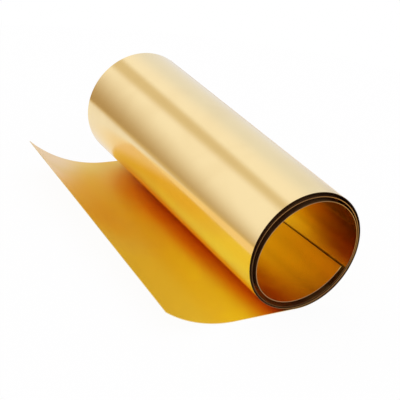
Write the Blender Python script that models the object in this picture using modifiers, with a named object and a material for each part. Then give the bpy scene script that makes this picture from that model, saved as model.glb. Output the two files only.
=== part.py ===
"""Loose roll of brass shim stock with a free tail, lying on a level floor.

One thin sheet is wound in an open spiral. Its inner end has sprung inward, its outer end leaves the
roll at the lowest point, lies flat on the floor and curls up at the free edge. The roll runs along Y,
the tail points to -X, and the origin is at the bottom centre of the bounding box.
"""
import math

import bmesh
import bpy

# The sheet
SHEET_WIDTH = 0.1524
SHEET_THICKNESS = 0.000254

# The winding, with angles measured clockwise from the top as seen from the near end at -Y
ROLL_RADIUS = 0.0245
FULL_TURNS = 3
INNER_END_ANGLE = math.radians(115.0)
LEAVING_ANGLE = math.radians(180.0)

# The gap between turns goes from tightest to widest and back once a turn. The side where it is widest
# moves round from the inner turn to the outer one.
TIGHTEST_GAP = 0.00025
WIDEST_INNER_GAP = 0.0023
WIDEST_OUTER_GAP = 0.0013
INNER_GAP_ANGLE = math.radians(300.0)
OUTER_GAP_ANGLE = math.radians(360.0)

# The inner turn is slightly oval, and the outer turn is not
INNER_OVALITY = 0.0012
OVAL_AXIS_ANGLE = math.radians(62.0)

# The inner end springs away from the turn around it and settles back within its fade angle
SPRING_IN = 0.0021
SPRING_FADE_ANGLE = math.radians(150.0)

# The far end is looser, so it is larger, and the same length of sheet winds through a smaller angle
FAR_FLARE = 0.0042
INNER_EDGE_SLANT = math.radians(20.0)

# The tail
TAIL_LENGTH = 0.0600
NEAR_FLAT_LENGTH = 0.0270
FAR_FLAT_LENGTH = 0.0160
NEAR_CURL_RISE = math.radians(36.5)
FAR_CURL_RISE = math.radians(41.5)

# Facets
SEGMENTS_PER_TURN = 72
FLAT_SEGMENTS = 4
CURL_SEGMENTS = 12
SHARP_EDGE_ANGLE = math.radians(40.0)

# The search for the lowest point
SLOPE_STEP = 1e-5
LEAVING_STEPS = 12

# Bright rolled brass
BRASS_COLOUR = (0.91, 0.78, 0.42, 1.0)
BRASS_ROUGHNESS = 0.22

COLLECTION_NAME = "shim_stock_roll"
NODE_NAME = "shim_sheet"


def blend(start, end, share):
    """Return the value a share of the way from start to end."""
    return start + share * (end - start)


class EndSection:
    """The sheet's outer face as seen at one end of the roll."""

    def __init__(self, inner_end_angle, flat_length, curl_rise):
        self.inner_end_angle = inner_end_angle
        self.flat_length = flat_length
        self.curl_rise = curl_rise
        self.winding = 2 * math.pi * FULL_TURNS + LEAVING_ANGLE - inner_end_angle
        self.middle_radius = 0.0
        self.extra_pitch = 0.0

    def turns_from_middle(self, wound):
        """Return the signed turns between the middle of the winding and a wound angle."""
        return (wound - self.winding / 2) / (2 * math.pi)

    def plain_pitch(self, wound):
        """Return the thickness plus the gap that belongs to a wound angle."""
        share = wound / self.winding
        widest = blend(WIDEST_INNER_GAP, WIDEST_OUTER_GAP, share)
        side = blend(INNER_GAP_ANGLE, OUTER_GAP_ANGLE, share)
        opening = (1 + math.cos(self.inner_end_angle + wound - side)) / 2
        return SHEET_THICKNESS + blend(TIGHTEST_GAP, widest, opening)

    def size_by_radius(self, outer_radius):
        """Set the middle radius so that the winding ends at the outer radius."""
        outer_turns = self.turns_from_middle(self.winding)
        self.middle_radius = outer_radius - outer_turns * self.plain_pitch(self.winding)

    def size_by_length(self, outer_radius, wound_length):
        """Wind a length of sheet, and open the pitch until the winding ends at the outer radius."""
        outer_turns = self.turns_from_middle(self.winding)
        self.middle_radius = wound_length / self.winding
        whole_pitch = (outer_radius - self.middle_radius) / outer_turns
        self.extra_pitch = whole_pitch - self.plain_pitch(self.winding)

    def spring(self, wound):
        """Return how far the inner end has sprung inward."""
        left = max(0.0, 1 - wound / SPRING_FADE_ANGLE)
        return SPRING_IN * left ** 2 * (3 - 2 * left)

    def oval(self, wound):
        """Return how far the turn stands out of round."""
        angle = self.inner_end_angle + wound
        return INNER_OVALITY * (1 - wound / self.winding) * math.cos(2 * (angle - OVAL_AXIS_ANGLE))

    def spiral_radius(self, wound):
        """Return the outer face's radius after winding through an angle from the inner end."""
        pitch = self.plain_pitch(wound) + self.extra_pitch
        wound_radius = self.middle_radius + self.turns_from_middle(wound) * pitch
        return wound_radius + self.oval(wound) - self.spring(wound)

    def leaving_winding(self):
        """Return the wound angle at the spiral's lowest point, where it runs level."""
        wound = self.winding
        for _ in range(LEAVING_STEPS):
            rise = self.spiral_radius(wound + SLOPE_STEP) - self.spiral_radius(wound - SLOPE_STEP)
            slope = rise / (2 * SLOPE_STEP)
            wound = self.winding + math.atan2(slope, self.spiral_radius(wound))
        return wound

    def spiral_point(self, wound):
        """Return (x, z) about the roll's axis for a wound angle."""
        angle = self.inner_end_angle + wound
        radius = self.spiral_radius(wound)
        return radius * math.sin(angle), radius * math.cos(angle)

    def roll_points(self, count):
        """Return the spiral from the inner end to its lowest point, which stands on z = 0."""
        end = self.leaving_winding()
        points = [self.spiral_point(end * index / count) for index in range(count + 1)]
        foot_x, foot_z = points[-1]
        return [(x - foot_x, z - foot_z) for x, z in points[:-1]] + [(0.0, 0.0)]

    def tail_points(self):
        """Return the flat stretch, then the arc that curls up to the free edge."""
        flat = [(-self.flat_length * index / FLAT_SEGMENTS, 0.0) for index in range(1, FLAT_SEGMENTS + 1)]
        x, z = flat[-1]
        curl = []
        step = (TAIL_LENGTH - self.flat_length) / CURL_SEGMENTS
        for index in range(CURL_SEGMENTS):
            rise = self.curl_rise * (index + 0.5) / CURL_SEGMENTS
            x -= step * math.cos(rise)
            z += step * math.sin(rise)
            curl.append((x, z))
        return flat + curl


def end_points():
    """Return the points of the near and the far section, the same number and length of each."""
    near = EndSection(INNER_END_ANGLE, NEAR_FLAT_LENGTH, NEAR_CURL_RISE)
    near.size_by_radius(ROLL_RADIUS)
    far = EndSection(INNER_END_ANGLE + INNER_EDGE_SLANT, FAR_FLAT_LENGTH, FAR_CURL_RISE)
    far.size_by_length(ROLL_RADIUS + FAR_FLARE, near.middle_radius * near.winding)
    count = round(SEGMENTS_PER_TURN * near.winding / (2 * math.pi))
    return [section.roll_points(count) + section.tail_points() for section in (near, far)]


def clear_scene():
    """Remove every object of the scene."""
    for item in list(bpy.data.objects):
        bpy.data.objects.remove(item, do_unlink=True)


def make_collection(name):
    """Return a new collection linked to the scene."""
    collection = bpy.data.collections.new(name)
    bpy.context.scene.collection.children.link(collection)
    return collection


def make_brass():
    """Return bright rolled brass."""
    material = bpy.data.materials.new("brass")
    material.use_nodes = True
    shader = material.node_tree.nodes["Principled BSDF"]
    shader.inputs["Base Color"].default_value = BRASS_COLOUR
    shader.inputs["Metallic"].default_value = 1.0
    shader.inputs["Roughness"].default_value = BRASS_ROUGHNESS
    return material


def loft_sections(name, near, far):
    """Return an open mesh ruled between the near and the far section."""
    section_x = [x for x, _ in near + far]
    centre_x = (min(section_x) + max(section_x)) / 2
    shape = bmesh.new()
    rows = []
    for (near_x, near_z), (far_x, far_z) in zip(near, far):
        near_vertex = shape.verts.new((near_x - centre_x, -SHEET_WIDTH / 2, near_z))
        far_vertex = shape.verts.new((far_x - centre_x, SHEET_WIDTH / 2, far_z))
        rows.append((near_vertex, far_vertex))
    for first, second in zip(rows, rows[1:]):
        shape.faces.new((first[0], second[0], second[1], first[1]))
    mesh = bpy.data.meshes.new(name)
    shape.to_mesh(mesh)
    shape.free()
    return mesh


def make_sheet(collection, material):
    """Build the rolled sheet as one closed solid that thickens inward from its outer face."""
    near, far = end_points()
    mesh = loft_sections(NODE_NAME, near, far)
    mesh.materials.append(material)
    sheet = bpy.data.objects.new(NODE_NAME, mesh)
    collection.objects.link(sheet)
    solidify = sheet.modifiers.new("sheet thickness", "SOLIDIFY")
    solidify.thickness = SHEET_THICKNESS
    solidify.offset = -1.0
    solidify.use_even_offset = True
    mesh.shade_smooth()
    mesh.set_sharp_from_angle(angle=SHARP_EDGE_ANGLE)
    return sheet


def main():
    """Build the roll of shim stock."""
    clear_scene()
    collection = make_collection(COLLECTION_NAME)
    make_sheet(collection, make_brass())


main()
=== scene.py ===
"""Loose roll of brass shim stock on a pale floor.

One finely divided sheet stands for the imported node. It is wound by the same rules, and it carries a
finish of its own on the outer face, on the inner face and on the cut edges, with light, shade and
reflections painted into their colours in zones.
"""
import logging
import math
from dataclasses import dataclass, field
from enum import Enum
from typing import Any, Sequence

import bpy
import numpy as np
from mathutils import Matrix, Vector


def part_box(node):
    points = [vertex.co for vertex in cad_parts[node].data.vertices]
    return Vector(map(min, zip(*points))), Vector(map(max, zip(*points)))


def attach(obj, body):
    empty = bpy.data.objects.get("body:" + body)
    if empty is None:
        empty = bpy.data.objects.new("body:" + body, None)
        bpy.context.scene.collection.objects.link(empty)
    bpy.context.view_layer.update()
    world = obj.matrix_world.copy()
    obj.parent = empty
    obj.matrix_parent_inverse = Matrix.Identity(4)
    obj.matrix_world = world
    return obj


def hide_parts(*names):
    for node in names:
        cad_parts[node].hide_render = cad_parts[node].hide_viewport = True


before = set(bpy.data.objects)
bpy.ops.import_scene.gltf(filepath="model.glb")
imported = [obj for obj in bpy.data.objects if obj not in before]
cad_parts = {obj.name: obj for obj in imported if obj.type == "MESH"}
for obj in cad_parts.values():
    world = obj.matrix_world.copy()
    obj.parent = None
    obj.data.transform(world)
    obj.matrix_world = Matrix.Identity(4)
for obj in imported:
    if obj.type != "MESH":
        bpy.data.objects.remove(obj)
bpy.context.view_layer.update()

LOG = logging.getLogger("shim_stock_roll")
NODE_NAME = "shim_sheet"
BODY_NAME = "root"
PLACE_ATTRIBUTE = "sheet_place"
MILLIMETRE = 0.001
NOISE_MIDDLE = 0.5

# Distances from the middle of the sheet's width between which a tone at a rim sets in.
RIM_FADE = (0.058, 0.070)

# Places of a Mix node's colour sockets, which share their names with its other sockets.
MIX_FIRST_COLOUR = 6
MIX_SECOND_COLOUR = 7
MIX_RESULT_COLOUR = 2

Colour = tuple[float, float, float]
Point = tuple[float, float, float]


class SheetSide(Enum):
    """A side of the sheet, with the place of its finish among the material slots."""

    OUTER_FACE = 0
    INNER_FACE = 1
    CUT_EDGE = 2


@dataclass(frozen=True)
class Ramp:
    """Two readings between which a mask goes softly from 0 to 1."""

    zero: float
    one: float


class NodeMaker:
    """Adds and joins nodes in one node tree."""

    def __init__(self, tree: bpy.types.NodeTree) -> None:
        """Take the tree to work in.

        Args:
            tree: The node tree of a material, a world or a group.
        """
        self.tree = tree

    def add(self, kind: str, label: str = "", **settings: Any) -> bpy.types.Node:
        """Add a node.

        Args:
            kind: The node's type, without its ShaderNode prefix.
            label: What the node is for.
            **settings: Properties set on the node.

        Returns:
            The new node.
        """
        node = self.tree.nodes.new("ShaderNode" + kind)
        node.label = label
        for name, value in settings.items():
            setattr(node, name, value)
        return node

    def feed(self, node: bpy.types.Node, **inputs: Any) -> bpy.types.Node:
        """Join or set a node's inputs by name, with underscores for spaces.

        Args:
            node: The node to feed.
            **inputs: A socket to link from, or a plain value to set.

        Returns:
            The same node.
        """
        for name, value in inputs.items():
            self.put(node.inputs[name.replace("_", " ")], value)
        return node

    def put(self, socket: bpy.types.NodeSocket, value: Any) -> None:
        """Link or set one input.

        Args:
            socket: The input socket.
            value: An output socket, or a plain value.
        """
        if isinstance(value, bpy.types.NodeSocket):
            self.tree.links.new(value, socket)
        else:
            socket.default_value = value

    def math(self, operation: str, *values: Any, clamp: bool = False) -> bpy.types.NodeSocket:
        """Return the result of a sum on one, two or three values.

        Args:
            operation: The Math node's operation.
            *values: Output sockets or numbers.
            clamp: Whether the result is kept from 0 to 1.

        Returns:
            The result's socket.
        """
        node = self.add("Math", operation=operation, use_clamp=clamp)
        for socket, value in zip(node.inputs, values):
            self.put(socket, value)
        return node.outputs["Value"]

    def smooth_range(self, value: Any, start: Any, end: Any, low: Any = 0.0,
                     high: Any = 1.0) -> bpy.types.NodeSocket:
        """Return a value eased from low to high as the input goes from start to end.

        Args:
            value: The socket that is read.
            start: The input where the result leaves low.
            end: The input where the result reaches high.
            low: The result at start.
            high: The result at end.

        Returns:
            The result's socket.
        """
        node = self.add("MapRange", interpolation_type="SMOOTHSTEP")
        for socket, each in zip(node.inputs, (value, start, end, low, high)):
            self.put(socket, each)
        return node.outputs["Result"]

    def ramp(self, value: bpy.types.NodeSocket, ramp: Ramp) -> bpy.types.NodeSocket:
        """Return a mask that goes from 0 to 1 over a ramp."""
        return self.smooth_range(value, ramp.zero, ramp.one)

    def both(self, first: Any, second: Any) -> bpy.types.NodeSocket:
        """Return the mask of the places that two masks share."""
        return self.math("MULTIPLY", first, second)

    def degrees(self, angle: bpy.types.NodeSocket) -> bpy.types.NodeSocket:
        """Return an angle in degrees, taken from radians."""
        return self.math("MULTIPLY", angle, math.degrees(1.0))

    def measure(self, operation: str, first: Any, second: Any) -> bpy.types.NodeSocket:
        """Work out a number from two vectors.

        Args:
            operation: The Vector Math node's operation.
            first: A socket or a vector.
            second: A socket or a vector.

        Returns:
            The number's socket.
        """
        node = self.add("VectorMath", operation=operation)
        for socket, value in zip(node.inputs, (first, second)):
            self.put(socket, value)
        return node.outputs["Value"]

    def ray_kinds(self) -> tuple[bpy.types.NodeSocket, bpy.types.NodeSocket]:
        """Tell which rays come from the camera, and which from a mirroring or clear surface.

        Returns:
            The sockets of two shares, each of them 0 or 1.
        """
        path = self.add("LightPath").outputs
        mirrored = self.math("MAXIMUM", path["Is Glossy Ray"], path["Is Transmission Ray"])
        return path["Is Camera Ray"], mirrored

    def mix_shader(self, share: Any, first: Any, second: Any) -> bpy.types.NodeSocket:
        """Mix two shaders.

        Args:
            share: 0 for the first, 1 for the second.
            first: The first shader's socket.
            second: The second shader's socket.

        Returns:
            The mixed shader's socket.
        """
        node = self.add("MixShader")
        for socket, value in zip(node.inputs, (share, first, second)):
            self.put(socket, value)
        return node.outputs["Shader"]

    def mix_colour(self, share: Any, first: Any, second: Any) -> bpy.types.NodeSocket:
        """Return a colour between two.

        Args:
            share: 0 for the first, 1 for the second.
            first: A colour or socket.
            second: A colour or socket.

        Returns:
            The mixed colour's socket.
        """
        node = self.add("Mix", data_type="RGBA")
        self.put(node.inputs["Factor"], share)
        self.put(node.inputs[MIX_FIRST_COLOUR], first)
        self.put(node.inputs[MIX_SECOND_COLOUR], second)
        return node.outputs[MIX_RESULT_COLOUR]


def opaque(colour: Colour) -> tuple[float, float, float, float]:
    """Return a colour with full alpha."""
    return (*colour, 1.0)


@dataclass(frozen=True)
class GroupSocket:
    """An input or output of a node group."""

    name: str
    kind: str
    direction: str = "INPUT"
    default: float | None = None


def new_group(name: str, sockets: Sequence[GroupSocket]
              ) -> tuple[bpy.types.NodeTree, bpy.types.Node, bpy.types.Node]:
    """Make an empty shader node group with its sockets.

    Args:
        name: The group's name.
        sockets: Its inputs and outputs.

    Returns:
        The group, its input node and its output node.
    """
    group = bpy.data.node_groups.new(name, "ShaderNodeTree")
    for socket in sockets:
        made = group.interface.new_socket(socket.name, in_out=socket.direction, socket_type=socket.kind)
        if socket.default is not None:
            made.default_value = socket.default
    return group, group.nodes.new("NodeGroupInput"), group.nodes.new("NodeGroupOutput")


@dataclass
class SurfaceEffects:
    """The effects that the finishes share, each built once as a node group."""

    line_detail: float = 3.0
    line_breakup: float = 0.6
    mark_detail: float = 2.0
    mark_breakup: float = 0.5
    mark_distortion: float = 0.6
    mark_edge: Ramp = Ramp(0.42, 0.72)
    rolling_lines: bpy.types.NodeTree = field(init=False)
    handling_marks: bpy.types.NodeTree = field(init=False)
    tone_step: bpy.types.NodeTree = field(init=False)

    def __post_init__(self) -> None:
        """Build the groups."""
        self.rolling_lines = self.make_rolling_lines()
        self.handling_marks = self.make_handling_marks()
        self.tone_step = self.make_tone_step()

    def make_tone_step(self) -> bpy.types.NodeTree:
        """Build a soft step over the sheet.

        Returns:
            A group from a place on the sheet to a share that goes from 0 at Start to 1 at End, both
            measured along Direction.
        """
        group, inward, outward = new_group("tone_step", [
            GroupSocket("Place", "NodeSocketVector"),
            GroupSocket("Direction", "NodeSocketVector"),
            GroupSocket("Start", "NodeSocketFloat", default=0.0),
            GroupSocket("End", "NodeSocketFloat", default=1.0),
            GroupSocket("Share", "NodeSocketFloat", "OUTPUT"),
        ])
        maker = NodeMaker(group)
        measured = maker.measure("DOT_PRODUCT", inward.outputs["Place"], inward.outputs["Direction"])
        share = maker.smooth_range(measured, inward.outputs["Start"], inward.outputs["End"])
        maker.put(outward.inputs["Share"], share)
        return group

    def make_rolling_lines(self) -> bpy.types.NodeTree:
        """Build fine lines that run along the sheet's length.

        Returns:
            A group from a place on the sheet to a value round 0.5.
        """
        group, inward, outward = new_group("rolling_lines", [
            GroupSocket("Place", "NodeSocketVector"),
            GroupSocket("Lines Per Metre", "NodeSocketFloat", default=2500.0),
            GroupSocket("Length Per Line", "NodeSocketFloat", default=0.03),
            GroupSocket("Value", "NodeSocketFloat", "OUTPUT"),
        ])
        maker = NodeMaker(group)
        split = maker.feed(maker.add("SeparateXYZ"), Vector=inward.outputs["Place"])
        along = maker.math("DIVIDE", split.outputs["X"], inward.outputs["Length Per Line"])
        across = maker.math("MULTIPLY", split.outputs["Y"], inward.outputs["Lines Per Metre"])
        spot = maker.feed(maker.add("CombineXYZ"), X=along, Y=across, Z=split.outputs["Z"])
        fine = maker.feed(maker.add("TexNoise"), Vector=spot.outputs["Vector"], Scale=1.0,
                          Detail=self.line_detail, Roughness=self.line_breakup)
        maker.put(outward.inputs["Value"], fine.outputs["Fac"])
        return group

    def make_handling_marks(self) -> bpy.types.NodeTree:
        """Build soft smudges left by handling.

        Returns:
            A group from a place on the sheet to a mask from 0 to 1.
        """
        group, inward, outward = new_group("handling_marks", [
            GroupSocket("Place", "NodeSocketVector"),
            GroupSocket("Marks Per Metre", "NodeSocketFloat", default=40.0),
            GroupSocket("Mask", "NodeSocketFloat", "OUTPUT"),
        ])
        maker = NodeMaker(group)
        broad = maker.feed(maker.add("TexNoise"), Vector=inward.outputs["Place"],
                           Scale=inward.outputs["Marks Per Metre"], Detail=self.mark_detail,
                           Roughness=self.mark_breakup, Distortion=self.mark_distortion)
        maker.put(outward.inputs["Mask"], maker.ramp(broad.outputs["Fac"], self.mark_edge))
        return group


@dataclass(frozen=True)
class ToneStep:
    """A soft step over the sheet, from 0 to 1 as the place goes from start to end along a direction."""

    direction: Point
    start: float
    end: float


def beyond(start: float, end: float, slant: float = 0.0) -> ToneStep:
    """Describe a step that is 1 past a length from the inner end.

    Args:
        start: The length where the step leaves 0, on the middle line of the sheet.
        end: The length where the step reaches 1, on the middle line of the sheet.
        slant: How much sooner the step comes for each metre toward the far end.

    Returns:
        The step.
    """
    return ToneStep((1.0, slant, 0.0), start, end)


def upto(start: float, end: float) -> ToneStep:
    """Return a step that is 1 before a length from the inner end."""
    return ToneStep((-1.0, 0.0, 0.0), -end, -start)


def near_rim(start: float, end: float) -> ToneStep:
    """Return a step that is 1 toward the near end of the roll."""
    return ToneStep((0.0, -1.0, 0.0), start, end)


def far_rim(start: float, end: float) -> ToneStep:
    """Return a step that is 1 toward the far end of the roll."""
    return ToneStep((0.0, 1.0, 0.0), start, end)


@dataclass(frozen=True)
class ToneZone:
    """A part of the sheet that shows another tone, where all its steps are 1; most paint light, shade or
    reflections.
    """

    name: str
    colour: Colour
    roughness: float
    steps: tuple[ToneStep, ...]

    def share(self, maker: NodeMaker, place: bpy.types.NodeSocket, effects: SurfaceEffects) -> Any:
        """Multiply the zone's steps.

        Args:
            maker: The material's node maker.
            place: The socket with the place on the sheet.
            effects: The shared node groups.

        Returns:
            The socket of a share from 0 outside the zone to 1 inside it.
        """
        share: Any = 1.0
        for step in self.steps:
            soft = maker.add("Group", self.name, node_tree=effects.tone_step)
            maker.feed(soft, Place=place, Direction=step.direction, Start=step.start, End=step.end)
            share = maker.both(share, soft.outputs["Share"])
        return share


@dataclass(frozen=True)
class BrassFinish:
    """Bright rolled brass with painted light and shade in zones, as one side shows it; lengths and depths
    in metres.
    """

    name: str
    clean: Colour
    smudged: Colour
    roughness: float
    zones: tuple[ToneZone, ...]
    line_roughness: float = 0.04
    mark_roughness: float = 0.03
    mark_shade: float = 0.3
    lines_per_metre: float = 2500.0
    line_length: float = 0.03
    marks_per_metre: float = 40.0
    line_depth: float = 0.000002
    dent_depth: float = 0.00001
    highlight_stretch: float = 0.4

    def material(self, effects: SurfaceEffects) -> bpy.types.Material:
        """Build the finish.

        Args:
            effects: The shared node groups.

        Returns:
            The new material.
        """
        made = bpy.data.materials.new(self.name)
        made.use_nodes = True
        maker = NodeMaker(made.node_tree)
        shader = made.node_tree.nodes["Principled BSDF"]
        reader = maker.add("Attribute", "Place on the sheet", attribute_name=PLACE_ATTRIBUTE)
        place = reader.outputs["Vector"]
        lines = maker.add("Group", "Rolling lines", node_tree=effects.rolling_lines)
        maker.feed(lines, Place=place, Lines_Per_Metre=self.lines_per_metre,
                   Length_Per_Line=self.line_length)
        marks = maker.add("Group", "Handling marks", node_tree=effects.handling_marks)
        maker.feed(marks, Place=place, Marks_Per_Metre=self.marks_per_metre)
        line, mark = lines.outputs["Value"], marks.outputs["Mask"]
        clean, plain = self.tones(maker, place, effects)
        uneven = maker.math("MULTIPLY", maker.math("SUBTRACT", line, NOISE_MIDDLE), self.line_roughness)
        touched = maker.math("MULTIPLY", mark, self.mark_roughness)
        smudge = maker.math("MULTIPLY", mark, self.mark_shade)
        across = maker.add("VectorTransform", "Across the rolling lines", vector_type="VECTOR",
                           convert_from="OBJECT", convert_to="WORLD")
        across.inputs["Vector"].default_value = (0.0, 1.0, 0.0)
        maker.feed(shader, Metallic=1.0, Anisotropic=self.highlight_stretch,
                   Tangent=across.outputs["Vector"],
                   Base_Color=maker.mix_colour(smudge, clean, opaque(self.smudged)),
                   Roughness=maker.math("ADD", maker.math("ADD", plain, uneven), touched),
                   Normal=self.relief(maker, line, mark))
        return made

    def tones(self, maker: NodeMaker, place: bpy.types.NodeSocket,
              effects: SurfaceEffects) -> tuple[Any, Any]:
        """Lay the zones over the clean colour and the plain roughness, each over the ones before it.

        Args:
            maker: The material's node maker.
            place: The socket with the place on the sheet.
            effects: The shared node groups.

        Returns:
            The sockets of the colour and of the roughness.
        """
        colour: Any = opaque(self.clean)
        roughness: Any = self.roughness
        for zone in self.zones:
            share = zone.share(maker, place, effects)
            colour = maker.mix_colour(share, colour, opaque(zone.colour))
            roughness = maker.smooth_range(share, 0.0, 1.0, roughness, zone.roughness)
        return colour, roughness

    def relief(self, maker: NodeMaker, line: bpy.types.NodeSocket,
               mark: bpy.types.NodeSocket) -> bpy.types.NodeSocket:
        """Raise the rolling lines and sink the handling marks.

        Args:
            maker: The material's node maker.
            line: The socket of the rolling lines.
            mark: The socket of the handling marks.

        Returns:
            The socket of the normal.
        """
        bump = maker.feed(maker.add("Bump"), Height=line, Distance=self.line_depth, Strength=1.0)
        dents = maker.feed(maker.add("Bump"), Height=mark, Distance=self.dent_depth, Strength=1.0,
                           Normal=bump.outputs["Normal"])
        return dents.outputs["Normal"]


def outer_finish() -> BrassFinish:
    """Describe the face that looks out from the roll, with shade painted between the turns at both rims.

    Returns:
        The finish of the outer face.
    """
    # Painted shade between the turns: colour and roughness where the rims open onto the turns' hidden
    # faces.
    painted_gap_shade = (0.30, 0.14, 0.055)
    under_turns = upto(0.30, 0.32)
    return BrassFinish(
        name="brass_outer_face", clean=(0.97, 0.795, 0.42), smudged=(0.90, 0.70, 0.34), roughness=0.14,
        zones=(
            ToneZone("Painted shade between the turns at the near rim", painted_gap_shade, 0.48, (under_turns, near_rim(*RIM_FADE))),
            ToneZone("Painted shade between the turns at the far rim", painted_gap_shade, 0.48, (under_turns, far_rim(*RIM_FADE))),
        ))


def inner_finish() -> BrassFinish:
    """Describe the face that lines the bore and lies uppermost on the tail, with light, shade and
    reflections painted over it in zones.

    Returns:
        The finish of the inner face.
    """
    # Painted shade between the turns, where the rims open onto the turns' hidden faces.
    painted_gap_shade = (0.34, 0.14, 0.045)
    under_turns = beyond(0.140, 0.152)
    tail = beyond(0.495, 0.517)
    return BrassFinish(
        name="brass_inner_face", clean=(0.955, 0.795, 0.28), smudged=(0.92, 0.68, 0.14), roughness=0.12,
        dent_depth=0.000002,
        zones=(
            ToneZone("Bore", (1.0, 0.835, 0.24), 0.170, (upto(0.134, 0.146),)),
            # Painted shade: the bottom of the bore, toward the near rim, is dark brown.
            ToneZone("Painted shade at the bottom of the bore", (0.42, 0.10, 0.03), 0.24,
                     (beyond(0.010, 0.034), upto(0.050, 0.070), near_rim(-0.002, 0.032))),
            # Painted reflection: the right side of the bore is a deeper gold.
            ToneZone("Painted reflection on the right side of the bore", (1.0, 0.76, 0.12), 0.17,
                     (beyond(0.096, 0.116), upto(0.124, 0.140), near_rim(0.018, 0.056))),
            # Painted shade between the turns at the near rim, left of the second turn and between the outer
            # turns.
            ToneZone("Painted shade between the turns at the near rim", painted_gap_shade, 0.45, (under_turns, near_rim(*RIM_FADE))),
            ToneZone("Painted shade left of the second turn", painted_gap_shade, 0.45,
                     (beyond(0.160, 0.175), upto(0.215, 0.230), near_rim(0.036, 0.058))),
            ToneZone("Painted shade between the outer turns", painted_gap_shade, 0.45,
                     (beyond(0.300, 0.320), upto(0.440, 0.455), near_rim(0.035, 0.058))),
            # Painted shade between the turns at the far rim.
            ToneZone("Painted shade between the turns at the far rim", (0.34, 0.15, 0.05), 0.45,
                     (under_turns, far_rim(*RIM_FADE))),
            # Painted shadow: deep orange where the sheet leaves the roll and the roll shades the tail.
            ToneZone("Painted shadow where the sheet leaves the roll", (0.90, 0.50, 0.07), 0.28, (beyond(0.450, 0.470),)),
            # Painted light: the open part of the tail is brightened to a deep gold.
            ToneZone("Painted light on the open part of the tail", (1.0, 0.87, 0.11), 0.34,
                     (beyond(0.4880, 0.5035, slant=-0.155),)),
            # Painted shade: the far part of the tail is a deeper orange.
            ToneZone("Painted shade on the far part of the tail", (0.88, 0.55, 0.08), 0.36, (beyond(0.533, 0.562, slant=1.0),)),
            # Painted light: the curl of the tail is a bright gold.
            ToneZone("Curl of the tail", (1.0, 0.81, 0.09), 0.52, (tail,)),
            # Painted shade: the far half of the curl is a deeper orange.
            ToneZone("Curl of the tail, far half", (0.94, 0.61, 0.06), 0.50,
                     (tail, far_rim(-0.030, 0.010))),
            # Painted sheen: the far corner of the tail is paler.
            ToneZone("Painted sheen on the far corner of the tail", (0.97, 0.71, 0.36), 0.33,
                     (beyond(0.5325, 0.5550, slant=0.5),)),
        ))


def edge_finish() -> BrassFinish:
    """Describe the cut edges, darkened by painted shade, with painted light and shade that change from turn
    to turn.

    Returns:
        The finish of the cut edges.
    """
    return BrassFinish(
        # Painted shade: the cut edges are darkened to a deep brown.
        name="brass_cut_edge", clean=(0.42, 0.26, 0.11), smudged=(0.36, 0.21, 0.09), roughness=0.42,
        line_roughness=0.10, mark_roughness=0.05, lines_per_metre=6000.0, line_length=0.001,
        line_depth=0.000004, dent_depth=0.0,
        zones=(
            # Painted shade: the edge goes nearly black where the second turn starts.
            ToneZone("Start of the second turn", (0.11, 0.055, 0.018), 0.50, (beyond(0.118, 0.150),)),
            # The edge of the second turn goes back to about the darkened edge tone.
            ToneZone("Second turn", (0.46, 0.24, 0.08), 0.42, (beyond(0.19, 0.225),)),
            # Painted shade: the outer turn's edge is nearly black.
            ToneZone("Outer turn", (0.07, 0.035, 0.012), 0.50, (beyond(0.30, 0.34),)),
            # Painted light: the edge of the tail is pale.
            ToneZone("Tail", (0.97, 0.78, 0.36), 0.40, (beyond(0.455, 0.478),)),
            # Painted light: the edges on the right sides of the inner two turns are lighter.
            ToneZone("Right side of the inner turn", (0.62, 0.32, 0.08), 0.42,
                     (beyond(0.090, 0.105), upto(0.125, 0.135))),
            ToneZone("Right side of the second turn", (0.58, 0.29, 0.07), 0.42,
                     (beyond(0.235, 0.250), upto(0.285, 0.300))),
            # Painted light: the edge at the inner end is bright.
            ToneZone("Inner end", (0.98, 0.72, 0.20), 0.30, (upto(0.001, 0.003),)),
        ))


@dataclass(frozen=True)
class WindingRules:
    """How the sheet lies in the roll, with angles clockwise from the top as seen from the near end."""

    thickness: float = 0.000254
    full_turns: int = 3
    leaving_angle: float = math.radians(180.0)
    tightest_gap: float = 0.00025
    widest_inner_gap: float = 0.0023
    widest_outer_gap: float = 0.0013
    inner_gap_angle: float = math.radians(300.0)
    outer_gap_angle: float = math.radians(360.0)
    inner_ovality: float = 0.0012
    oval_axis_angle: float = math.radians(62.0)
    spring_in: float = 0.0021
    spring_fade_angle: float = math.radians(150.0)


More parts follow.
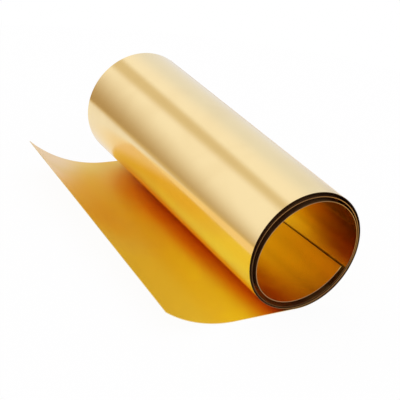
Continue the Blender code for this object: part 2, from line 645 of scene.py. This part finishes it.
@dataclass
class EndSection:
    """The sheet's outer face as seen at one end of the roll."""

    rules: WindingRules
    inner_end_angle: float
    flat_length: float
    curl_rise: float
    winding: float = field(init=False)
    middle_radius: float = field(init=False, default=0.0)
    extra_pitch: float = field(init=False, default=0.0)

    def __post_init__(self) -> None:
        """Work out the whole wound angle."""
        self.winding = math.tau * self.rules.full_turns + self.rules.leaving_angle - self.inner_end_angle

    def turns_from_middle(self, wound: np.ndarray | float) -> np.ndarray | float:
        """Return the signed turns between the middle of the winding and a wound angle."""
        return (wound - self.winding / 2) / math.tau

    def plain_pitch(self, wound: np.ndarray | float) -> np.ndarray | float:
        """Work out the pitch by the winding rules alone.

        Args:
            wound: The wound angle from the inner end.

        Returns:
            The thickness plus the gap that belongs to the angle.
        """
        rules = self.rules
        share = wound / self.winding
        widest = rules.widest_inner_gap + share * (rules.widest_outer_gap - rules.widest_inner_gap)
        side = rules.inner_gap_angle + share * (rules.outer_gap_angle - rules.inner_gap_angle)
        opening = (1 + np.cos(self.inner_end_angle + wound - side)) / 2
        return rules.thickness + rules.tightest_gap + opening * (widest - rules.tightest_gap)

    def size_by_radius(self, outer_radius: float) -> None:
        """Set the middle radius so that the winding ends at the outer radius."""
        outer_turns = self.turns_from_middle(self.winding)
        self.middle_radius = outer_radius - outer_turns * self.plain_pitch(self.winding)

    def size_by_length(self, outer_radius: float, wound_length: float) -> None:
        """Wind a length of sheet, and open the pitch until the winding ends at the outer radius.

        Args:
            outer_radius: The roll's radius at its lowest point.
            wound_length: The length of sheet in the roll.
        """
        self.middle_radius = wound_length / self.winding
        whole_pitch = (outer_radius - self.middle_radius) / self.turns_from_middle(self.winding)
        self.extra_pitch = whole_pitch - self.plain_pitch(self.winding)

    def spiral_radius(self, wound: np.ndarray | float) -> np.ndarray | float:
        """Work out the outer face's radius, with the oval inner turn and the sprung inner edge.

        Args:
            wound: The wound angle from the inner end.

        Returns:
            The radius in metres.
        """
        rules = self.rules
        left = np.maximum(0.0, 1 - wound / rules.spring_fade_angle)
        spring = rules.spring_in * left ** 2 * (3 - 2 * left)
        turned = self.inner_end_angle + wound - rules.oval_axis_angle
        oval = rules.inner_ovality * (1 - wound / self.winding) * np.cos(2 * turned)
        pitch = self.plain_pitch(wound) + self.extra_pitch
        return self.middle_radius + self.turns_from_middle(wound) * pitch + oval - spring

    def leaving_winding(self, slope_step: float = 1e-5, tries: int = 12) -> float:
        """Return the wound angle at the spiral's lowest point, where it runs level.

        Args:
            slope_step: The step in angle for the spiral's slope.
            tries: How often the answer is refined.

        Returns:
            The wound angle in radians.
        """
        wound = self.winding
        for _ in range(tries):
            rise = self.spiral_radius(wound + slope_step) - self.spiral_radius(wound - slope_step)
            wound = self.winding + math.atan2(rise / (2 * slope_step), self.spiral_radius(wound))
        return wound

    def roll_points(self, count: int) -> np.ndarray:
        """Place points from the inner end to the lowest point, which stands on the floor at x = 0.

        Args:
            count: The divisions of the roll.

        Returns:
            One row of x and z for each point.
        """
        wound = np.linspace(0.0, self.leaving_winding(), count + 1)
        radius, angle = self.spiral_radius(wound), self.inner_end_angle + wound
        points = np.stack([radius * np.sin(angle), radius * np.cos(angle)], axis=1)
        return points - points[-1]

    def tail_points(self, tail_length: float, flat_count: int, curl_count: int) -> np.ndarray:
        """Return (x, z) along the flat stretch and the arc that curls up to the free edge.

        Args:
            tail_length: The length of sheet outside the roll.
            flat_count: The divisions of the flat stretch.
            curl_count: The divisions of the arc.

        Returns:
            One row for each point after the lowest point of the roll.
        """
        flat_x = -self.flat_length * np.arange(1, flat_count + 1) / flat_count
        flat = np.stack([flat_x, np.zeros(flat_count)], axis=1)
        step = (tail_length - self.flat_length) / curl_count
        rise = self.curl_rise * (np.arange(curl_count) + 0.5) / curl_count
        steps = step * np.stack([-np.cos(rise), np.sin(rise)], axis=1)
        return np.concatenate([flat, flat[-1] + np.cumsum(steps, axis=0)])


@dataclass
class RolledSheet:
    """The one sheet of brass, from its sprung inner end to its curled free edge."""

    width: float = 0.1524
    roll_radius: float = 0.0245
    far_flare: float = 0.0042
    inner_end_angle: float = math.radians(115.0)
    inner_edge_slant: float = math.radians(20.0)
    tail_length: float = 0.0600
    near_flat_length: float = 0.0270
    far_flat_length: float = 0.0160
    near_curl_rise: float = math.radians(36.5)
    far_curl_rise: float = math.radians(41.5)
    segments_per_turn: int = 216
    flat_segments: int = 12
    curl_segments: int = 36
    rows: int = 36
    edge_margin: float = 0.0004
    sharp_angle: float = math.radians(40.0)
    box_margin: float = 0.000001
    rules: WindingRules = field(default_factory=WindingRules)

    def end_points(self) -> tuple[np.ndarray, np.ndarray]:
        """Wind the same length of sheet at both ends of the roll.

        Returns:
            The points of the near section and as many of the far section.
        """
        near = EndSection(self.rules, self.inner_end_angle, self.near_flat_length, self.near_curl_rise)
        near.size_by_radius(self.roll_radius)
        far_start = self.inner_end_angle + self.inner_edge_slant
        far = EndSection(self.rules, far_start, self.far_flat_length, self.far_curl_rise)
        far.size_by_length(self.roll_radius + self.far_flare, near.middle_radius * near.winding)
        count = round(self.segments_per_turn * near.winding / math.tau)
        sections = []
        for section in (near, far):
            tail = section.tail_points(self.tail_length, self.flat_segments, self.curl_segments)
            sections.append(np.concatenate([section.roll_points(count), tail]))
        return sections[0], sections[1]

    def row_shares(self) -> np.ndarray:
        """Return each row's place across the width, from 0 at the near end to 1 at the far end."""
        margin = self.edge_margin / self.width
        return np.concatenate([[0.0], np.linspace(margin, 1 - margin, self.rows - 1), [1.0]])

    def build(self) -> bpy.types.Object:
        """Build the sheet's outer face and thicken it inward.

        Returns:
            The sheet as a mesh object.
        """
        near, far = self.end_points()
        shares = self.row_shares()
        section = near[:, None, :] + shares[None, :, None] * (far - near)[:, None, :]
        centre_x = (section[..., 0].min() + section[..., 0].max()) / 2
        across = np.broadcast_to((shares - 0.5) * self.width, section.shape[:2])
        points = np.stack([section[..., 0] - centre_x, across, section[..., 1]], axis=-1)
        steps = np.linalg.norm(np.diff(near, axis=0), axis=1)
        along = np.concatenate([[0.0], np.cumsum(steps)])
        lengths = np.broadcast_to(along[:, None], across.shape)
        place = np.stack([lengths, across, np.zeros(across.shape)], axis=-1)
        mesh = self.grid_mesh(points, place)
        sheet = bpy.data.objects.new("rolled_sheet", mesh)
        bpy.context.scene.collection.objects.link(sheet)
        self.thicken(sheet)
        return sheet

    def grid_mesh(self, points: np.ndarray, place: np.ndarray) -> bpy.types.Mesh:
        """Make a mesh of four-sided faces over a grid of points.

        Args:
            points: Positions, by station along the sheet and row across it.
            place: Length and width coordinates at the same points.

        Returns:
            The open mesh, with its faces turned out from the roll.
        """
        stations, rows = points.shape[:2]
        first = (np.arange(stations - 1)[:, None] * rows + np.arange(rows - 1)[None, :]).ravel()
        faces = np.stack([first, first + rows, first + rows + 1, first + 1], axis=1)
        mesh = bpy.data.meshes.new("rolled_sheet")
        mesh.from_pydata(points.reshape(-1, 3).tolist(), [], faces.tolist())
        attribute = mesh.attributes.new(PLACE_ATTRIBUTE, "FLOAT_VECTOR", "POINT")
        attribute.data.foreach_set("vector", place.reshape(-1).astype(np.float32))
        mesh.update()
        return mesh

    def thicken(self, sheet: bpy.types.Object) -> None:
        """Give the open sheet its thickness, with a slot for each side, and apply it.

        Args:
            sheet: The object that carries the open mesh.
        """
        solidify = sheet.modifiers.new("thickness", "SOLIDIFY")
        solidify.thickness = self.rules.thickness
        solidify.offset = -1.0
        solidify.use_even_offset = True
        solidify.material_offset = SheetSide.INNER_FACE.value
        solidify.material_offset_rim = SheetSide.CUT_EDGE.value
        for _ in SheetSide:
            sheet.data.materials.append(None)
        graph = bpy.context.evaluated_depsgraph_get()
        solid = bpy.data.meshes.new_from_object(sheet.evaluated_get(graph), depsgraph=graph)
        sheet.modifiers.clear()
        sheet.data = solid
        solid.shade_smooth()
        solid.set_sharp_from_angle(angle=self.sharp_angle)

    def fit_box(self, sheet: bpy.types.Object, low: Sequence[float], high: Sequence[float]) -> None:
        """Draw the finer facets in, by hundredths of a millimetre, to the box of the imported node.

        Args:
            sheet: The built sheet.
            low: The lowest corner of the node's box.
            high: The highest corner of the node's box.
        """
        vertices = sheet.data.vertices
        flat = np.empty(len(vertices) * 3, dtype=np.float32)
        vertices.foreach_get("co", flat)
        points = flat.reshape(-1, 3).astype(float)
        own_low, own_high = points.min(axis=0), points.max(axis=0)
        low_margin = np.array([self.box_margin, self.box_margin, 0.0])
        goal_low, goal_high = np.array(low) + low_margin, np.array(high) - self.box_margin
        points = goal_low + (points - own_low) * (goal_high - goal_low) / (own_high - own_low)
        vertices.foreach_set("co", points.reshape(-1).astype(np.float32))
        sheet.data.update()

    def dress(self, sheet: bpy.types.Object, finishes: dict[SheetSide, bpy.types.Material]) -> None:
        """Put a finish on each side.

        Args:
            sheet: The built sheet.
            finishes: The material of each side.
        """
        for side, finish in finishes.items():
            sheet.data.materials[side.value] = finish


@dataclass(frozen=True)
class PhotoCamera:
    """The camera at the photograph's viewing angle, for a square frame."""

    lens: float = 81.27
    sensor: float = 36.0
    nearest: float = 0.01
    place: Point = (-0.17907, -0.31366, 0.18115)
    yaw: float = math.radians(31.268)
    pitch: float = math.radians(24.721)
    roll: float = math.radians(6.750)

    def build(self) -> bpy.types.Object:
        """Make the camera and give it to the scene.

        Returns:
            The camera object.
        """
        data = bpy.data.cameras.new("photo_camera")
        data.lens = self.lens
        data.sensor_width = self.sensor
        data.sensor_height = self.sensor
        data.clip_start = self.nearest
        camera = bpy.data.objects.new("photo_camera", data)
        bpy.context.scene.collection.objects.link(camera)
        aim = Matrix.Rotation(-self.yaw, 4, "Z") @ Matrix.Rotation(math.pi / 2 - self.pitch, 4, "X")
        camera.matrix_world = Matrix.Translation(self.place) @ aim @ Matrix.Rotation(self.roll, 4, "Z")
        bpy.context.scene.camera = camera
        return camera


@dataclass(frozen=True)
class Trend:
    """A value that grows evenly with the depth of a direction."""

    at_zero: float
    growth: float


@dataclass(frozen=True)
class StudioRoom:
    """An even white room that lights the roll, with the soft warm zones that the brass mirrors.

    A turn goes round the roll's axis from straight up toward +X, a heading goes from +Y toward +X, and a
    height is taken from the horizon, all in degrees. A depth is the part of a direction along +Y.
    """

    white: Colour = (1.0, 1.0, 1.0)
    room: Colour = (0.98, 0.95, 0.98)
    cool_side: Colour = (0.83, 0.84, 0.92)
    cool_rise: Ramp = Ramp(10.0, 50.0)
    cool_fall: Ramp = Ramp(170.0, 150.0)
    middle_band: Colour = (0.73, 0.62, 0.46)
    middle_rise: Ramp = Ramp(-31.0, -15.0)
    middle_end: Trend = Trend(-32.5, 50.0)
    middle_fall: float = 14.0
    middle_depth: Ramp = Ramp(0.60, 0.75)
    middle_least: float = 0.85
    left_band: Colour = (0.55, 0.40, 0.22)
    left_rise: Ramp = Ramp(-118.0, -102.0)
    left_width: Trend = Trend(-178.0, 300.0)
    left_least_width: float = 20.0
    low_zone: Colour = (0.45, 0.31, 0.16)
    low_heading: float = -10.0
    low_height: float = -12.0
    low_fade: Ramp = Ramp(39.0, 20.0)
    side_zone: Colour = (0.42, 0.28, 0.14)
    side_heading: Ramp = Ramp(45.0, 54.0)
    side_height: Ramp = Ramp(24.0, 12.0)

    def build(self) -> bpy.types.World:
        """Make the world: plain white light, and a backdrop for the camera and for mirrored rays.

        Returns:
            The new world.
        """
        world = bpy.data.worlds.new("studio")
        world.use_nodes = True
        world.node_tree.nodes.clear()
        maker = NodeMaker(world.node_tree)
        from_camera, mirrored = maker.ray_kinds()
        seen = maker.math("MAXIMUM", from_camera, mirrored)
        backdrop = maker.mix_colour(from_camera, self.mirrored_colour(maker), opaque(self.white))
        light = maker.feed(maker.add("Background", "Light"), Color=opaque(self.room), Strength=1.0)
        shown = maker.feed(maker.add("Background", "Backdrop"), Color=backdrop, Strength=1.0)
        surface = maker.mix_shader(seen, light.outputs["Background"], shown.outputs["Background"])
        maker.put(maker.add("OutputWorld").inputs["Surface"], surface)
        bpy.context.scene.world = world
        return world

    def mirrored_colour(self, maker: NodeMaker) -> bpy.types.NodeSocket:
        """Lay the zones over the white room.

        Args:
            maker: The world's node maker.

        Returns:
            The socket of the colour that a mirrored ray meets.
        """
        facing = maker.add("TexCoord").outputs["Generated"]
        split = maker.feed(maker.add("SeparateXYZ"), Vector=facing)
        x, depth, z = (split.outputs[name] for name in "XYZ")
        turn = maker.degrees(maker.math("ARCTAN2", x, z))
        heading = maker.degrees(maker.math("ARCTAN2", x, depth))
        height = maker.degrees(maker.math("ARCSINE", z))
        zones = (
            (self.cool_side,
             maker.both(maker.ramp(turn, self.cool_rise), maker.ramp(turn, self.cool_fall))),
            (self.middle_band, self.middle_mask(maker, turn, depth)),
            (self.left_band, self.left_mask(maker, turn, depth)),
            (self.low_zone, self.low_mask(maker, facing)),
            (self.side_zone,
             maker.both(maker.ramp(heading, self.side_heading), maker.ramp(height, self.side_height))),
        )
        colour: Any = opaque(self.room)
        for zone, mask in zones:
            colour = maker.mix_colour(mask, colour, opaque(zone))
        return colour

    def middle_mask(self, maker: NodeMaker, turn: bpy.types.NodeSocket,
                    depth: bpy.types.NodeSocket) -> bpy.types.NodeSocket:
        """Mask the band above the roll, which widens toward the far end.

        Args:
            maker: The world's node maker.
            turn: The socket of the turn.
            depth: The socket of the depth.

        Returns:
            The mask's socket.
        """
        end = maker.math("MULTIPLY_ADD", depth, self.middle_end.growth, self.middle_end.at_zero)
        inside = maker.math("DIVIDE", maker.math("SUBTRACT", end, turn), self.middle_fall)
        shape = maker.both(maker.ramp(turn, self.middle_rise), maker.smooth_range(inside, 0.0, 1.0))
        depths = self.middle_depth
        strength = maker.smooth_range(depth, depths.zero, depths.one, self.middle_least, 1.0)
        return maker.both(shape, strength)

    def left_mask(self, maker: NodeMaker, turn: bpy.types.NodeSocket,
                  depth: bpy.types.NodeSocket) -> bpy.types.NodeSocket:
        """Mask the band low on the left, which begins sharply and fades evenly upward.

        Args:
            maker: The world's node maker.
            turn: The socket of the turn.
            depth: The socket of the depth.

        Returns:
            The mask's socket.
        """
        widening = maker.math("MULTIPLY_ADD", depth, self.left_width.growth, self.left_width.at_zero)
        width = maker.math("MAXIMUM", widening, self.left_least_width)
        gone = maker.math("DIVIDE", maker.math("SUBTRACT", turn, self.left_rise.one), width)
        return maker.both(maker.ramp(turn, self.left_rise), maker.math("SUBTRACT", 1.0, gone, clamp=True))

    def low_mask(self, maker: NodeMaker, facing: bpy.types.NodeSocket) -> bpy.types.NodeSocket:
        """Mask the round zone low behind the roll.

        Args:
            maker: The world's node maker.
            facing: The socket of the direction.

        Returns:
            The mask's socket.
        """
        heading, height = math.radians(self.low_heading), math.radians(self.low_height)
        flat = math.cos(height)
        centre = (math.sin(heading) * flat, math.cos(heading) * flat, math.sin(height))
        angle = maker.math("ARCCOSINE", maker.measure("DOT_PRODUCT", facing, centre))
        return maker.ramp(maker.degrees(angle), self.low_fade)


@dataclass(frozen=True)
class PaintedFloorSpot:
    """A round patch of painted light, or of painted shade, on the floor that mirrored rays see, with its
    fade by the distance in metres.
    """

    colour: Colour
    centre: Point
    fade: Ramp


@dataclass(frozen=True)
class PaleFloor:
    """Round pale paper that keeps the roll's shadow and shows in the brass, with painted light and shade
    that only mirrored rays see.
    """

    radius: float = 0.34
    sides: int = 96
    white: Colour = (1.0, 1.0, 1.0)
    paper: Colour = (0.98, 0.98, 0.98)
    roughness: float = 0.9
    white_share: float = 0.94
    mirrored: Colour = (0.92, 0.89, 0.92)
    # Painted shade: mirrored rays see the outer paper, past the tail and far from the roll, darker and
    # warm.
    outskirts: Colour = (0.60, 0.45, 0.24)
    outskirts_by_x: Ramp = Ramp(-0.085, -0.150)
    outskirts_middle: Point = (0.0, 0.0, 0.0)
    outskirts_by_distance: Ramp = Ramp(0.24, 0.32)
    painted_spots: tuple[PaintedFloorSpot, ...] = (
        # Painted bounce light: a warm pool on the paper beside the tail.
        PaintedFloorSpot(colour=(0.95, 0.73, 0.40), centre=(-0.085, 0.02, 0.0), fade=Ramp(0.12, 0.07)),
        # Painted shadow: the roll's shade on the paper behind its far end.
        PaintedFloorSpot(colour=(0.55, 0.40, 0.22), centre=(0.043, 0.100, 0.0), fade=Ramp(0.050, 0.025)),
    )

    def build(self) -> bpy.types.Object:
        """Make the floor and put it on the stage.

        Returns:
            The floor object.
        """
        angles = [math.tau * side / self.sides for side in range(self.sides)]
        ring = [(self.radius * math.cos(angle), self.radius * math.sin(angle), 0.0) for angle in angles]
        mesh = bpy.data.meshes.new("floor")
        mesh.from_pydata(ring, [], [list(range(self.sides))])
        floor = bpy.data.objects.new("floor", mesh)
        bpy.context.scene.collection.objects.link(floor)
        floor.data.materials.append(self.material())
        return floor

    def material(self) -> bpy.types.Material:
        """Build the paper.

        Returns:
            The new material.
        """
        made = bpy.data.materials.new("pale_floor")
        made.use_nodes = True
        maker = NodeMaker(made.node_tree)
        shader = made.node_tree.nodes["Principled BSDF"]
        maker.feed(shader, Base_Color=opaque(self.paper), Roughness=self.roughness)
        from_camera, mirrored = maker.ray_kinds()
        seen = maker.math("MAXIMUM", maker.math("MULTIPLY", from_camera, self.white_share), mirrored)
        colour = maker.mix_colour(mirrored, opaque(self.white), self.mirrored_colour(maker))
        glow = maker.feed(maker.add("Emission"), Color=colour, Strength=1.0)
        surface = maker.mix_shader(seen, shader.outputs["BSDF"], glow.outputs["Emission"])
        maker.put(made.node_tree.nodes["Material Output"].inputs["Surface"], surface)
        return made

    def mirrored_colour(self, maker: NodeMaker) -> bpy.types.NodeSocket:
        """Lay the painted shade of the outskirts and the painted spots of light and shade over the paper as
        the brass mirrors it.

        Args:
            maker: The material's node maker.

        Returns:
            The colour's socket.
        """
        position = maker.add("NewGeometry").outputs["Position"]
        split = maker.feed(maker.add("SeparateXYZ"), Vector=position)
        left = maker.ramp(split.outputs["X"], self.outskirts_by_x)
        away = maker.measure("DISTANCE", position, self.outskirts_middle)
        outside = maker.math("MAXIMUM", left, maker.ramp(away, self.outskirts_by_distance))
        colour = maker.mix_colour(outside, opaque(self.mirrored), opaque(self.outskirts))
        for spot in self.painted_spots:
            mask = maker.ramp(maker.measure("DISTANCE", position, spot.centre), spot.fade)
            colour = maker.mix_colour(mask, colour, opaque(spot.colour))
        return colour


@dataclass(frozen=True)
class ViewSettings:
    """How colours are shown, and how often light may pass between the turns of the roll."""

    transform: str = "Standard"
    bounces: int = 20
    diffuse_bounces: int = 4

    def apply(self) -> None:
        """Give the settings to the scene."""
        scene = bpy.context.scene
        scene.view_settings.view_transform = self.transform
        scene.cycles.max_bounces = self.bounces
        scene.cycles.glossy_bounces = self.bounces
        scene.cycles.diffuse_bounces = self.diffuse_bounces


def report(sheet: bpy.types.Object) -> None:
    """Log the sheet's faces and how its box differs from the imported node's.

    Args:
        sheet: The built sheet.
    """
    low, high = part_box(NODE_NAME)
    corners = np.array([vertex.co for vertex in sheet.data.vertices])
    below = np.round((corners.min(axis=0) - low) / MILLIMETRE, decimals=3).tolist()
    above = np.round((corners.max(axis=0) - high) / MILLIMETRE, decimals=3).tolist()
    LOG.info("%s: %d faces", sheet.name, len(sheet.data.polygons))
    LOG.info("%s: box differs from the node's by %s and %s mm", sheet.name, below, above)


def main() -> None:
    """Build the sheet, its finishes, the studio and the camera."""
    logging.basicConfig(level=logging.INFO, format="%(name)s: %(message)s")
    effects = SurfaceEffects()
    rolled = RolledSheet()
    sheet = rolled.build()
    rolled.fit_box(sheet, *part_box(NODE_NAME))
    rolled.dress(sheet, {
        SheetSide.OUTER_FACE: outer_finish().material(effects),
        SheetSide.INNER_FACE: inner_finish().material(effects),
        SheetSide.CUT_EDGE: edge_finish().material(effects),
    })
    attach(sheet, BODY_NAME)
    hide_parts(NODE_NAME)
    report(sheet)
    floor = PaleFloor().build()
    LOG.info("%s: radius %.2f m", floor.name, floor.dimensions.x / 2)
    world = StudioRoom().build()
    LOG.info("%s: lights and backdrop", world.name)
    camera = PhotoCamera().build()
    LOG.info("%s: lens %.2f mm", camera.name, camera.data.lens)
    ViewSettings().apply()


if __name__ == "__main__":
    main()
